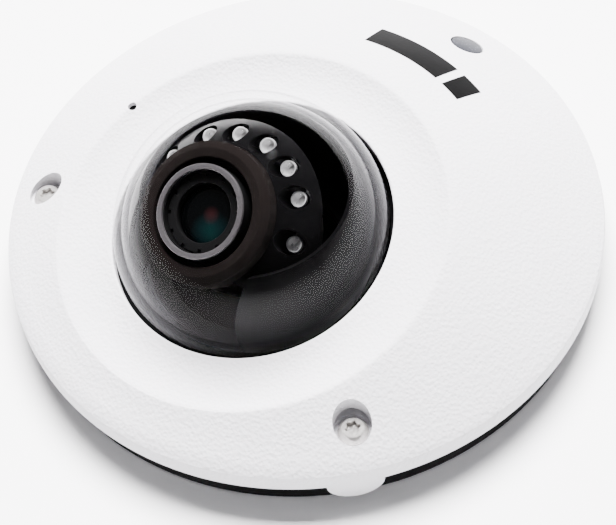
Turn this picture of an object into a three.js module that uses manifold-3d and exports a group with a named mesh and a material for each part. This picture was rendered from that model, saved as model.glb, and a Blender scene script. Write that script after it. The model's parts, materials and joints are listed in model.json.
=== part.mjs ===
// Dome security camera: an eccentric, leaning cover on a round base, with a clear bubble over a
// three-axis lens module.  Millimetres, +Z up, origin at the centre of the mounting face.
// The dome leans towards -Y, the low side of the cover; the wide side of the cover is at +Y.
import * as THREE from 'three';
import { mergeVertices } from 'three/addons/utils/BufferGeometryUtils.js';
import Module from 'manifold-3d';

const wasm = await Module();
wasm.setup();

// ---------- driving dimensions ----------
const seatGap = 0.3; // between faces that touch on the real object, where one is turned or cut
const runGap = 0.6; // between pieces that move past each other
const layGap = 0.05; // under a part that lies flat on another

// base
const footInset = 1.6; // the foot stands in from the cover's edge
const footHeight = 5.7;
const footChamfer = 0.6;
const floorThickness = 2.2;
const baseWallThickness = 2.0;
const baseWallHeight = 8.0;
const wallHoleRadius = 2.3;
const wallHoleInset = 7.4; // from the inside of the base wall to the hole's centre
const wallHoleAngles = [30, 150, 270].map(THREE.MathUtils.degToRad);
const glandPlace = [34, 3];
const glandHole = 6.0;
const glandBore = 3.5;

// cover
const coverRadius = 55;
const coverWall = 2.0;
const lipHeight = 4.0;
const lipInset = 0.7;
const dishWidth = 10.2; // from the opening out to the ridge
const lowSkirtWidth = 6.7; // from the ridge out to the cover's edge, on the low side
const ridgeRise = 14.25; // ridge centre above the cover's lower edge
const lean = THREE.MathUtils.degToRad(10.1);
const skirtBulge = 0.9;
const dishDepth = 0.9;
const openingDrop = 0.5; // opening edge below the ridge plane
const openingLand = 0.3; // extra depth of the opening's edge
const sealWidth = 1.6; // between the base wall and the inside of the cover

// bubble
const bubbleRadius = 25.0;
const bubbleWall = 1.5;
const bubbleDrop = 2.4; // centre of the bubble below the ridge plane
const flangeWidth = 2.4;
const flangeThickness = 1.4;
const sealThickness = 0.6;
const clampThickness = 1.8;
const clampWidth = 6.8;
const clampStep = 0.9; // the clamp's bore is this much wider than the bubble's
const clampScrewCount = 3;
const clampScrewShank = 0.8;
const clampScrewHead = [1.5, 1.0]; // radius and height, as for each small screw
const clampScrewLength = 3.2;
const clampScrewOut = 2.1; // from the bubble's flange to the screw
const clampBossRadius = 1.7;

// lens module
const lensLean = THREE.MathUtils.degToRad(32); // lens axis from straight up, at rest
const tiltEnd = THREE.MathUtils.degToRad(38); // furthest tilt from rest towards the wall
const linerGap = 1.2; // between the liner and the bubble
const linerWall = 1.1;
const linerTopAngle = THREE.MathUtils.degToRad(57);
const hoodGap = 2.9; // between the hood and the bubble
const hoodWall = 1.2;
const hoodAngle = THREE.MathUtils.degToRad(62);
const hoodCut = -7; // the hood and its parts stop this far below the lens axis
const hoodCollar = 1.1;
const carrierWall = 1.3;
const carrierBack = -3.5;
const carrierFace = 2.2;
const foamGap = 1.2; // between the foam and the lens head
const foamWidth = 3.1;
const foamHeight = 4.0;
const foamBubbleGap = 1.2; // room for the bubble to lift off past a tilted lens
const foamOverhang = 0.4; // the foam is this much wider than the drum it sits on
const foamSlope = 1.4; // the foam's outer edge slopes back over this much of its face
const lensLength = 17.7;
const lensBack = 2.6; // rear of the lens barrel above the pan centre
const lensHeadRadius = 8.3;
const lensHeadBack = 9.0;
const lensThreadRadius = 6.0;
const lensBore = 4.6;
const frontGlassRadius = 5.5;
const lensRingHeight = 0.7;
const lensRecess = 2.5; // front of the lens to the shelf round the glass
const lensRecessWall = 1.2;
const lensRingWidth = 1.0;
const frontGlassBack = 2.7; // behind the shelf
const frontGlassEdge = 1.1; // edge of the glass behind the shelf
const frontGlassCrown = 1.0;
const retainingNotches = 12;
const retainingInset = 1.4; // from the lens head to the retaining ring
const retainingLap = 0.3; // over the glass
const retainingHeight = 0.9;
const notchHalf = 0.35;
const rearGlass = [4.4, 3.2, 5.0]; // radius, back, front

// infrared lamps
const ledRadius = 1.5;
const ledFlange = 0.4;
const ledFlangeHeight = 0.65;
const ledBody = 1.9;
const ledOut = 2.8; // from the drum to the ring of lamps
const ledBoardEdge = 0.9; // from the ring of lamps to the board's edge
const ledBoardDrop = 5.6; // lamp board below the front of the drum
const ledAngles = [15, 45, 67.5, 90, 112.5, 135, 165].map(THREE.MathUtils.degToRad);
const ledWellGap = 0.6;
const boardThickness = 1.2;
const shelfThickness = 1.35;

// pan ring, clamps and yoke
const panRingThickness = 2.0;
const panClampOut = 3.0; // from the ring's edge to the clamp screw
const panClampReach = 1.0; // how far a clamp reaches over the ring
const panClampHalf = 2.6;
const panClampThickness = 1.0;
const panClampAngles = [0, 90, 180].map(THREE.MathUtils.degToRad);
const panClampLift = 0.1; // of the clamp over the ring and its post
const panScrewHead = [1.8, 0.4];
const panScrewShank = 0.9;
const panScrewLength = 4;
const panPostRadius = 2.3;
const armGap = 1.6; // between the drum and a yoke arm
const armThickness = 2.0;
const armWidth = 8.0;
const armFoot = 3.0;
const armFootThickness = 1.4;
const pinRadius = 1.5;
const pinHeadRadius = 2.6;
const pinHeadHeight = 1.25;
const trunnionRadius = 3.2;

// turning holder, sensor and day-night filter
const filterTravel = 5.0;
const filterHalf = 3.9;
const filterLevel = -0.3;
const filterThickness = 0.8;
const filterGlassRadius = 2.9;
const holderBack = -1.4;
const holderFlange = 1.8;
const holderNeckWall = 1.4;
const holderNeckTop = 8.0;
const holderBore = 5.2;
const holderStep = 2.3;
const threadGap = 0.2;
const sensorHalf = [3.6, 2.9];

// cover screws, M3 button heads
const screwInset = 7.2; // from the cover's edge to the screw
const screwAngle = THREE.MathUtils.degToRad(53.6); // either side of the low side
const screwHeadRadius = 2.7;
const screwHeadHeight = 1.65;
const screwShankRadius = 1.5;
const screwLength = 7;
const screwSeatRise = 2.9; // screw seat above the top of the base wall
const screwPocketGap = 0.65; // round the head
const coverBossWall = 1.7;
const baseBossWall = 1.9;
const socketRadius = 1.25;
const socketDepth = 0.9;

// small features of the cover
const tabAngle = THREE.MathUtils.degToRad(52.3);
const tabHalfWidth = 5.2;
const tabDrop = 4.0;
const tabThickness = 1.2;
const tabGap = 0.4;
const keyHalfWidth = 3.5;
const keyHeight = 1.6;
const keyRise = 1.9; // underside of the key above the foot
const micAngle = THREE.MathUtils.degToRad(172); // round the ridge circle from +X
const micBootRadius = 3.4;
const micCapsuleRadius = 2.1;
const micHoleRadius = 0.85;
const micBossBottom = -4.6;
const micBootHeight = 3.4;
const windowRadius = 3.1;
const windowInset = 6; // from the cover's edge to the light window, on the wide side
const windowThickness = 1.2;
const windowLedge = 0.8;
const windowGap = 0.2;
const photocellRadius = 2.2;

// main board
const boardGap = 1.9; // from the pan clamp to the board
const boardFarGap = 6.4; // from the board to the base wall
const boardHalfWidth = 30;
const boardLevel = 6.0;
const boardFit = 1.0;
const boardScrewRadius = 1.2;
const boardScrewHead = [2.2, 1.1];
const boardScrewLength = 3.8;
const boardPostRadius = 2.6;
const boardPostOut = 24; // of the two near posts, either side
const boardPostInset = 4; // of the near posts, from the board's near edge
const farPostInset = 3; // of the far post, from the board's far edge
const processorSize = [14, 14, 1.4]; // width, depth, height, as for each part on the board
const processorPlace = [0, 10]; // of its middle: across, and in from the board's near edge
const transformerSize = [11, 9, 4.2];
const transformerPlace = [-16.5, 13.5];
const cardSlotSize = [14, 11, 1.9];
const cardSlotPlace = [18, 14.5];
const headerSize = [10, 4, 4.0];
const headerPlace = [-14, 3];
const switchSize = [5.2, 5.2, 2.4];
const switchPlace = [15, 4];
const buttonTravel = 0.5;
const buttonRadius = 1.2;
const buttonWell = 0.8; // floor of the button's well above the switch's underside
const buttonTop = 3.6;

// roundness
const rough = 8;
const coarse = 12;
const medium = 20;
const smooth = 32;
const fine = 48;

// ---------- derived places ----------
const footRadius = coverRadius - footInset;
const baseWallRadius = coverRadius - coverWall - sealWidth;
const baseInner = baseWallRadius - baseWallThickness;
const wallHoleCircle = baseInner - wallHoleInset;
const openingRadius = bubbleRadius + runGap;
const ridgeRadius = openingRadius + dishWidth;
const ridgeOffset = coverRadius - ridgeRadius - lowSkirtWidth;
const floorRoot = floorThickness - 0.5; // posts start this low, inside the floor
const coverEdge = footHeight + seatGap;
const ridgeLevel = coverEdge + ridgeRise;
const lipTop = coverEdge + lipHeight;
const lipRadius = coverRadius - lipInset;
const keyBottom = footHeight + keyRise;
const keyTop = keyBottom + keyHeight;
const boreCentre = new THREE.Vector3(
  0,
  -ridgeOffset + bubbleDrop * Math.sin(lean),
  ridgeLevel - bubbleDrop * Math.cos(lean),
);
const screwCircle = coverRadius - screwInset;
const screwSeatLevel = baseWallHeight + screwSeatRise;
const pocketRadius = screwHeadRadius + screwPocketGap;
const coverBossRadius = screwHeadRadius + coverBossWall;
const coverBossBottom = baseWallHeight + 0.4;

const bubbleBore = bubbleRadius - bubbleWall;
const dishUnderside = -openingDrop - coverWall - openingLand;
const sealTop = dishUnderside - seatGap;
const flangeTop = sealTop - sealThickness - seatGap;
const flangeBottom = flangeTop - flangeThickness;
const clampTop = flangeBottom - seatGap;
const clampInner = bubbleBore + clampStep;
const clampScrewCircle = bubbleRadius + flangeWidth + clampScrewOut;

const foamBore = lensHeadRadius + foamGap;
const foamRadius = foamBore + foamWidth;
const foamReach = bubbleBore - foamBubbleGap;
const foamShoulder = Math.sqrt(foamReach ** 2 - foamRadius ** 2);
const foamFront = Math.sqrt(foamReach ** 2 - (foamRadius - foamSlope) ** 2);
const carrierRadius = foamRadius - foamOverhang;
const carrierBore = carrierRadius - carrierWall;
const carrierFront = foamShoulder - foamHeight;
const ledRingRadius = carrierRadius + ledOut;
const ledBoardRadius = ledRingRadius + ledBoardEdge;
const ledBoardLevel = carrierFront - ledBoardDrop;
const ledFoot = ledBoardLevel + boardThickness;
const linerRadius = bubbleBore - linerGap;
const hoodRadius = bubbleBore - hoodGap;
const lensFront = lensBack + lensLength;
const holderRadius = carrierBore - runGap;

// The pan ring clears the bubble's flange where the lean brings it lowest, and the drum's underside
// passes the ring's inner edge by the running gap at the furthest tilt.
const steepest = lensLean + tiltEnd;
const panRingRadius = linerRadius + seatGap;
const flangeLow = -flangeBottom - bubbleDrop + runGap;
const panRingTop = -(flangeLow + panRingRadius * Math.sin(lean)) / Math.cos(lean);
const panRingBore = (carrierRadius + runGap + panRingTop * Math.sin(steepest)) / Math.cos(steepest);
const panRingLevel = boreCentre.z + panRingTop;
const panSeatTop = panRingLevel - panRingThickness - panClampLift;
const panClampCircle = panRingRadius + panClampOut;
const armInner = carrierRadius + armGap;
const armOuter = armInner + armThickness;
const footOuter = armOuter + armFoot;
const linerFoot = panRingTop + layGap;

const boardNear = boreCentre.y + panClampCircle + panClampHalf + boardGap;
const boardFar = baseInner - boardFarGap;
const boardTop = boardLevel + boardThickness;
const onBoard = boardTop + layGap;
const boardPosts = [
  [-boardPostOut, boardNear + boardPostInset],
  [boardPostOut, boardNear + boardPostInset],
  [0, boardFar - farPostInset],
];

// ---------- shape helpers ----------
function toSolid(geometry) {
  const bare = geometry.clone();
  bare.deleteAttribute('normal');
  bare.deleteAttribute('uv');
  const merged = mergeVertices(bare, 1e-4);
  const corners = merged.index.array;
  const triangles = [];
  for (let i = 0; i < corners.length; i += 3) {
    const [a, b, c] = [corners[i], corners[i + 1], corners[i + 2]];
    if (a !== b && b !== c && c !== a) triangles.push(a, b, c);
  }
  const mesh = new wasm.Mesh({
    numProp: 3,
    vertProperties: new Float32Array(merged.attributes.position.array),
    triVerts: new Uint32Array(triangles),
  });
  return new wasm.Manifold(mesh);
}

function toGeometry(solid) {
  const mesh = solid.getMesh();
  const geometry = new THREE.BufferGeometry();
  geometry.setAttribute('position', new THREE.BufferAttribute(new Float32Array(mesh.vertProperties), 3));
  geometry.setIndex(new THREE.BufferAttribute(new Uint32Array(mesh.triVerts), 1));
  geometry.computeVertexNormals();
  return geometry;
}

function join(...parts) {
  return toGeometry(parts.map(toSolid).reduce((sum, part) => sum.add(part)));
}

function cut(body, ...tools) {
  return toGeometry(tools.map(toSolid).reduce((rest, tool) => rest.subtract(tool), toSolid(body)));
}

function common(first, second) {
  return toGeometry(toSolid(first).intersect(toSolid(second)));
}

// An outline of [radius, height] pairs, listed anticlockwise, turned about Z.  It closes on itself,
// or starts and ends on the axis.
function turned(outline, segments = medium) {
  const points = outline.map(([r, z]) => new THREE.Vector2(r, z));
  if (points[0].x > 0) points.push(points[0].clone());
  return new THREE.LatheGeometry(points, segments).rotateX(Math.PI / 2);
}

function rod(radius, from, to, segments = coarse) {
  const length = to - from;
  const geometry = new THREE.CylinderGeometry(radius, radius, length, segments);
  return geometry.rotateX(Math.PI / 2).translate(0, 0, from + length / 2);
}

function tube(inner, outer, from, to, segments = medium) {
  return turned([[inner, from], [outer, from], [outer, to], [inner, to]], segments);
}

function block(xRange, yRange, zRange) {
  const size = [xRange, yRange, zRange].map(([low, high]) => high - low);
  const middle = [xRange, yRange, zRange].map(([low, high]) => (high + low) / 2);
  return new THREE.BoxGeometry(...size).translate(...middle);
}

function arc(radius, from, to, steps) {
  const points = [];
  for (let i = 0; i <= steps; i += 1) {
    const angle = from + ((to - from) * i) / steps;
    points.push([radius * Math.cos(angle), radius * Math.sin(angle)]);
  }
  return points;
}

function polar(radius, angle) {
  return [radius * Math.cos(angle), radius * Math.sin(angle)];
}

// ---------- assembly helpers ----------
const camera = new THREE.Group();

const finishes = {
  whitePaint: { color: 0xe9e8ee, roughness: 0.55, metalness: 0.0 },
  blackCasting: { color: 0x0c0c0d, roughness: 0.55, metalness: 0.1 },
  blackPlastic: { color: 0x141415, roughness: 0.35, metalness: 0.0 },
  glossBlack: { color: 0x0b0b0d, roughness: 0.08, metalness: 0.0 },
  rubber: { color: 0x101010, roughness: 0.85, metalness: 0.0 },
  foam: { color: 0x1b1918, roughness: 0.95, metalness: 0.0 },
  clear: { color: 0xf4f6f8, roughness: 0.02, metalness: 0.0, transparent: true, opacity: 0.25 },
  lensGlass: { color: 0x0a1a18, roughness: 0.02, metalness: 0.0 },
  steel: { color: 0xb9b7b4, roughness: 0.25, metalness: 1.0 },
  greyMetal: { color: 0x8a8487, roughness: 0.35, metalness: 0.8 },
  board: { color: 0x14502c, roughness: 0.5, metalness: 0.0 },
  chip: { color: 0x17181a, roughness: 0.45, metalness: 0.0 },
  connector: { color: 0xe3dcc6, roughness: 0.5, metalness: 0.0 },
  tinted: { color: 0x20242c, roughness: 0.15, metalness: 0.0 },
};

function piece(group, name, finish, geometry) {
  const mesh = new THREE.Mesh(geometry, new THREE.MeshStandardMaterial(finishes[finish]));
  mesh.name = name;
  group.add(mesh);
  return mesh;
}

const domeFrame = new THREE.Group();
domeFrame.position.set(0, -ridgeOffset, ridgeLevel);
domeFrame.rotation.x = lean;
camera.add(domeFrame);

const panFrame = new THREE.Group();
panFrame.position.copy(boreCentre);
camera.add(panFrame);

const lensFrame = new THREE.Group();
lensFrame.rotation.x = lensLean;
panFrame.add(lensFrame);

// ---------- the leaning cover ----------
// The cover is drawn upright and concentric, then every point is leant and shifted by how far in it is.
// The upright wall round the edge stays where it is, and everything inside the ridge moves as one.
function leanShare(radius) {
  const start = coverRadius - coverWall;
  return THREE.MathUtils.clamp((start - radius) / (start - ridgeRadius), 0, 1);
}

function leanPoint(point) {
  const share = leanShare(Math.hypot(point.x, point.y));
  point.z -= ridgeLevel;
  point.applyAxisAngle(new THREE.Vector3(1, 0, 0), lean * share);
  point.z += ridgeLevel;
  point.y -= ridgeOffset * share;
  return point;
}

function leant(geometry) {
  const places = geometry.attributes.position;
  const point = new THREE.Vector3();
  for (let i = 0; i < places.count; i += 1) {
    leanPoint(point.fromBufferAttribute(places, i));
    places.setXYZ(i, point.x, point.y, point.z);
  }
  return geometry;
}

// Height of the upright skirt at a radius: a straight slope with a slight bulge.
function skirtHeight(radius) {
  const share = (lipRadius - radius) / (lipRadius - ridgeRadius);
  return lipTop + (ridgeLevel - lipTop) * share + 4 * skirtBulge * share * (1 - share);
}

function dishHeight(radius) {
  const share = (ridgeRadius - radius) / (ridgeRadius - openingRadius);
  return ridgeLevel - openingDrop * share - 4 * dishDepth * share * (1 - share);
}

function coverOutline() {
  const outline = [];
  const skirtSteps = 5;
  const dishSteps = 4;
  outline.push([coverRadius - coverWall, coverEdge]);
  outline.push([coverRadius, coverEdge]);
  outline.push([coverRadius, coverEdge + lipHeight * 0.6]);
  outline.push([coverRadius - lipInset * 0.3, coverEdge + lipHeight * 0.88]);
  for (let i = 0; i <= skirtSteps; i += 1) {
    const radius = lipRadius + ((ridgeRadius - lipRadius) * i) / skirtSteps;
    outline.push([radius, skirtHeight(radius)]);
  }
  for (let i = 1; i <= dishSteps; i += 1) {
    const radius = ridgeRadius + ((openingRadius - ridgeRadius) * i) / dishSteps;
    outline.push([radius, dishHeight(radius)]);
  }
  outline.push([openingRadius, ridgeLevel + dishUnderside]);
  outline.push([ridgeRadius - coverWall, ridgeLevel + dishUnderside]);
  for (let i = skirtSteps - 1; i >= 1; i -= 1) {
    const radius = lipRadius + ((ridgeRadius - lipRadius) * i) / skirtSteps - coverWall / 2;
    outline.push([radius, skirtHeight(radius) - coverWall * 1.2]);
  }
  outline.push([coverRadius - coverWall, coverEdge + lipHeight * 0.6]);
  return outline;
}

function screwPlace(side) {
  return polar(screwCircle, -Math.PI / 2 + side * screwAngle);
}

function coverTab() {
  const outline = new THREE.Shape();
  outline.moveTo(-tabHalfWidth, coverEdge + 1);
  outline.lineTo(-tabHalfWidth, coverEdge);
  outline.bezierCurveTo(
    -tabHalfWidth + 1.6, coverEdge - 0.2,
    -tabHalfWidth + 2.2, coverEdge - tabDrop,
    0, coverEdge - tabDrop,
  );
  outline.bezierCurveTo(
    tabHalfWidth - 2.2, coverEdge - tabDrop,
    tabHalfWidth - 1.6, coverEdge - 0.2,
    tabHalfWidth, coverEdge,
  );
  outline.lineTo(tabHalfWidth, coverEdge + 1);
  const slab = new THREE.ExtrudeGeometry(outline, { depth: 8, bevelEnabled: false, curveSegments: 8 });
  slab.rotateX(Math.PI / 2).translate(0, 4 - coverRadius, 0).rotateZ(tabAngle);
  const skin = tube(coverRadius - tabThickness, coverRadius, coverEdge - tabDrop - 1, coverEdge + 2, fine);
  return common(slab, skin);
}

// The space inside the cover's outer surface, filled in, for trimming what is added inside.
function coverVolume() {
  const outline = coverOutline();
  const last = outline.findIndex(([radius]) => radius === openingRadius);
  const outer = outline.slice(1, last + 1);
  const filled = [[0, coverEdge], ...outer, [0, dishHeight(openingRadius)]];
  return leant(turned(filled, fine));
}

function domeTool(geometry) {
  domeFrame.updateMatrix();
  return geometry.applyMatrix4(domeFrame.matrix);
}

// A place on the skirt and the direction that faces out there.
function skirtFrame(ring, angle) {
  const at = (r, a) => leanPoint(new THREE.Vector3(...polar(r, a), skirtHeight(r)));
  const step = 0.01;
  const point = at(ring, angle);
  const inward = at(ring - step, angle).sub(point);
  const around = at(ring, angle + step).sub(point);
  const normal = around.cross(inward).normalize();
  const frame = new THREE.Group();
  frame.position.copy(point);
  frame.quaternion.setFromUnitVectors(new THREE.Vector3(0, 0, 1), normal);
  frame.updateMatrix();
  return frame;
}

const windowFrame = skirtFrame(coverRadius - windowInset, Math.PI / 2);
camera.add(windowFrame);

function clampScrewPlaces() {
  const places = [];
  for (let i = 0; i < clampScrewCount; i += 1) {
    places.push(polar(clampScrewCircle, Math.PI / 2 + (i * 2 * Math.PI) / clampScrewCount));
  }
  return places;
}

function buildCover() {
  const shell = leant(turned(coverOutline(), fine));
  const inside = [];
  const holes = [];
  for (const side of [-1, 1]) {
    const [x, y] = screwPlace(side);
    inside.push(rod(coverBossRadius, coverBossBottom, screwSeatLevel + 1.2).translate(x, y, 0));
    holes.push(rod(pocketRadius, screwSeatLevel, ridgeLevel + 9, medium).translate(x, y, 0));
    holes.push(rod(screwShankRadius + seatGap, 0, screwSeatLevel + 1).translate(x, y, 0));
  }
  const [micX, micY] = polar(ridgeRadius - 0.1, micAngle);
  inside.push(domeTool(rod(micBootRadius, micBossBottom, -1).translate(micX, micY, 0)));
  holes.push(domeTool(rod(micHoleRadius, -12, 4).translate(micX, micY, 0)));
  inside.push(block([-keyHalfWidth, keyHalfWidth], [baseInner, coverRadius - 1], [keyBottom, keyTop]));
  const trimmed = inside.map((tool) => common(tool, coverVolume()));
  const clampBosses = [];
  for (const [x, y] of clampScrewPlaces()) {
    const boss = rod(clampBossRadius, clampTop + seatGap, dishUnderside + 0.6);
    clampBosses.push(domeTool(boss.translate(x, y, 0)));
    const pilot = rod(clampScrewShank + 0.2, clampTop - 1, dishUnderside - 0.3);
    holes.push(domeTool(pilot.translate(x, y, 0)));
  }
  const windowTools = [
    rod(windowRadius + windowGap, -windowThickness - layGap, 5, medium),
    rod(windowRadius - windowLedge, -8, 1),
  ];
  for (const tool of windowTools) holes.push(tool.applyMatrix4(windowFrame.matrix));
  return cut(join(shell, ...trimmed, ...clampBosses, coverTab()), ...holes);
}
piece(camera, 'cover', 'whitePaint', buildCover());

function screwGeometry(headRadius, headHeight, shankRadius, length, headLevel) {
  const crown = headHeight * 0.45;
  return turned([
    [0, headLevel - length],
    [shankRadius, headLevel - length],
    [shankRadius, headLevel],
    [headRadius, headLevel],
    [headRadius, headLevel + headHeight - crown],
    [headRadius * 0.72, headLevel + headHeight],
    [0, headLevel + headHeight],
  ], rough);
}

// Six-lobe drive socket sunk in a screw's head.
function driveSocket(radius, from, to) {
  const lobes = new THREE.Shape();
  const steps = 24;
  for (let i = 0; i <= steps; i += 1) {
    const angle = (i * 2 * Math.PI) / steps;
    const [x, y] = polar(radius * (1 + 0.16 * Math.cos(6 * angle)), angle);
    if (i === 0) lobes.moveTo(x, y);
    else lobes.lineTo(x, y);
  }
  return new THREE.ExtrudeGeometry(lobes, { depth: to - from, bevelEnabled: false }).translate(0, 0, from);
}

for (const [name, side] of [['cover_screw_left', -1], ['cover_screw_right', 1]]) {
  const [x, y] = screwPlace(side);
  const top = screwSeatLevel + screwHeadHeight;
  const screw = screwGeometry(
    screwHeadRadius, screwHeadHeight, screwShankRadius, screwLength, screwSeatLevel,
  );
  const drilled = cut(screw, driveSocket(socketRadius, top - socketDepth, top + 1));
  piece(camera, name, 'steel', drilled.translate(x, y, 0));
}

piece(camera, 'cover_seal', 'rubber', tube(
  baseWallRadius + 0.1, coverRadius - coverWall - 0.2, footHeight + 0.05, footHeight + 1.6, fine,
));
piece(windowFrame, 'light_window', 'tinted', rod(windowRadius, -windowThickness, -0.1, medium));
piece(windowFrame, 'light_sensor', 'chip', rod(
  photocellRadius, -windowThickness - 2.6, -windowThickness - 0.4,
));

const [micX, micY] = polar(ridgeRadius - 0.1, micAngle);
const bootBottom = micBossBottom - micBootHeight;
const boot = turned([
  [0, bootBottom],
  [micBootRadius, bootBottom],
  [micBootRadius, micBossBottom - seatGap],
  [micCapsuleRadius + 0.1, micBossBottom - seatGap],
  [micCapsuleRadius + 0.1, bootBottom + 0.8],
  [0, bootBottom + 0.8],
], coarse);
piece(domeFrame, 'microphone_boot', 'rubber', boot.translate(micX, micY, 0));
const capsule = rod(micCapsuleRadius, bootBottom + 0.9, micBossBottom - 0.5);
piece(domeFrame, 'microphone', 'steel', capsule.translate(micX, micY, 0));

// ---------- bubble, its seal and its clamp ----------
function buildBubble() {
  const steps = 9;
  const outline = [[bubbleBore, flangeBottom]];
  outline.push([bubbleRadius + flangeWidth, flangeBottom]);
  outline.push([bubbleRadius + flangeWidth, flangeTop]);
  outline.push([bubbleRadius, flangeTop]);
  const outer = arc(bubbleRadius, 0, Math.PI / 2, steps).map(([r, z]) => [r, z - bubbleDrop]);
  const inner = arc(bubbleBore, Math.PI / 2, 0, steps).map(([r, z]) => [r, z - bubbleDrop]);
  outer[steps][0] = 0;
  inner[0][0] = 0;
  return turned([...inner, ...outline, ...outer], smooth);
}
piece(domeFrame, 'dome_bubble', 'clear', buildBubble());
piece(domeFrame, 'dome_seal', 'rubber', tube(
  bubbleRadius + 0.4, bubbleRadius + flangeWidth, sealTop - sealThickness, sealTop, smooth,
));
const clampRing = tube(clampInner, clampInner + clampWidth, clampTop - clampThickness, clampTop, smooth);
const clampHoles = clampScrewPlaces().map(([x, y]) => (
  rod(clampScrewShank + 0.3, clampTop - 4, clampTop + 1).translate(x, y, 0)
));
piece(domeFrame, 'dome_clamp', 'blackPlastic', cut(clampRing, ...clampHoles));
clampScrewPlaces().forEach(([x, y], index) => {
  const screw = screwGeometry(...clampScrewHead, clampScrewShank, clampScrewLength, 0).rotateX(Math.PI);
  const level = clampTop - clampThickness - 0.1;
  piece(domeFrame, `dome_clamp_screw_${index + 1}`, 'steel', screw.translate(x, y, level));
});

// ---------- base ----------
function panClampPlaces() {
  return panClampAngles.map((angle) => {
    const [x, y] = polar(panClampCircle, angle);
    return [x, y + boreCentre.y, angle];
  });
}

function buildBase() {
  const solids = [
    turned([
      [0, 0],
      [footRadius - footChamfer, 0],
      [footRadius, footChamfer],
      [footRadius, footHeight],
      [baseWallRadius, footHeight],
      [baseWallRadius, baseWallHeight],
      [baseInner, baseWallHeight],
      [baseInner, floorThickness],
      [0, floorThickness],
    ], fine),
    tube(panRingBore + 2, panRingRadius - 2.4, floorRoot, panSeatTop).translate(0, boreCentre.y, 0),
  ];
  const holes = [];
  for (const side of [-1, 1]) {
    const [x, y] = screwPlace(side);
    const boss = rod(screwShankRadius + baseBossWall + 0.1, floorRoot, baseWallHeight);
    solids.push(boss.translate(x, y, 0));
    holes.push(rod(screwShankRadius + 0.1, 3.2, baseWallHeight + 1).translate(x, y, 0));
  }
  for (const [x, y] of boardPosts) {
    solids.push(rod(boardPostRadius, floorRoot, boardLevel).translate(x, y, 0));
    holes.push(rod(boardScrewRadius + 0.1, 2.8, boardLevel + 1).translate(x, y, 0));
  }
  for (const [x, y] of panClampPlaces()) {
    solids.push(rod(panPostRadius, floorRoot, panRingLevel).translate(x, y, 0));
    const pilotFloor = panRingLevel - panScrewLength;
    holes.push(rod(panScrewShank + 0.1, pilotFloor, panRingLevel + 1).translate(x, y, 0));
  }
  for (const angle of wallHoleAngles) {
    holes.push(rod(wallHoleRadius, -1, floorThickness + 1).translate(...polar(wallHoleCircle, angle), 0));
  }
  holes.push(rod(glandHole, -1, floorThickness + 1, medium).translate(...glandPlace, 0));
  const recess = block(
    [-tabHalfWidth - tabGap, tabHalfWidth + tabGap],
    [-coverRadius - 5, tabThickness + tabGap - coverRadius],
    [coverEdge - tabDrop - 0.8, footHeight + 1],
  );
  holes.push(recess.rotateZ(tabAngle));
  holes.push(block(
    [-keyHalfWidth - tabGap, keyHalfWidth + tabGap],
    [baseInner - 1, baseWallRadius + 0.5],
    [keyBottom - tabGap, baseWallHeight + 4],
  ));
  return cut(join(...solids), ...holes);
}
piece(camera, 'base', 'blackCasting', buildBase());

const gland = turned([
  [glandBore, 0.2],
  [glandHole - 0.1, 0.2],
  [glandHole - 0.1, floorThickness + 0.05],
  [glandHole + 2, floorThickness + 0.05],
  [glandHole + 1.6, floorThickness + 1.4],
  [glandBore + 1.0, floorThickness + 2.4],
  [glandBore, floorThickness + 2.4],
], coarse);
piece(camera, 'cable_gland', 'rubber', gland.translate(...glandPlace, 0));

// ---------- main board ----------
const boardShape = common(
  block([-boardHalfWidth, boardHalfWidth], [boardNear, boardFar], [boardLevel, boardTop]),
  rod(baseInner - boardFit, 0, 20, fine),
);
const boardHoles = boardPosts.map(([x, y]) => rod(boardScrewRadius + 0.2, 0, 20).translate(x, y, 0));
piece(camera, 'main_board', 'board', cut(boardShape, ...boardHoles));
boardPosts.forEach(([x, y], index) => {
  const screw = screwGeometry(...boardScrewHead, boardScrewRadius, boardScrewLength, onBoard);
  piece(camera, `board_screw_${index + 1}`, 'steel', screw.translate(x, y, 0));
});
function boardBlock([width, depth, height], [across, inward]) {
  const shape = block([-width / 2, width / 2], [-depth / 2, depth / 2], [onBoard, onBoard + height]);
  return shape.translate(across, boardNear + inward, 0);
}
piece(camera, 'processor', 'chip', boardBlock(processorSize, processorPlace));
piece(camera, 'lan_transformer', 'chip', boardBlock(transformerSize, transformerPlace));
piece(camera, 'card_slot', 'steel', boardBlock(cardSlotSize, cardSlotPlace));
piece(camera, 'lan_header', 'connector', boardBlock(headerSize, headerPlace));
const atButton = (geometry) => geometry.translate(switchPlace[0], boardNear + switchPlace[1], 0);
const buttonFloor = onBoard + buttonWell;
const buttonHole = atButton(rod(buttonRadius + seatGap, buttonFloor, onBoard + buttonTop + 1));
piece(camera, 'reset_switch', 'chip', cut(boardBlock(switchSize, switchPlace), buttonHole));
const buttonCap = rod(buttonRadius, buttonFloor + buttonTravel + layGap * 2, onBoard + buttonTop);
piece(camera, 'reset_button', 'connector', atButton(buttonCap));

// ---------- pan ring, clamps, yoke and liner ----------
piece(panFrame, 'pan_ring', 'blackPlastic', tube(
  panRingBore, panRingRadius, panRingTop - panRingThickness, panRingTop, fine,
));
panClampPlaces().forEach(([x, y, angle], index) => {
  const level = panRingLevel + panClampLift;
  const reach = [-panClampOut - panClampReach, panClampHalf];
  const plate = block(reach, [-panClampHalf, panClampHalf], [level, level + panClampThickness]);
  const clamp = cut(plate, rod(panScrewShank + 0.2, 0, level + 5)).rotateZ(angle);
  piece(camera, `pan_clamp_${index + 1}`, 'steel', clamp.translate(x, y, 0));
  const seat = level + panClampThickness + layGap;
  const screw = screwGeometry(...panScrewHead, panScrewShank, panScrewLength, seat);
  piece(camera, `pan_clamp_screw_${index + 1}`, 'steel', screw.translate(x, y, 0));
});

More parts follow.
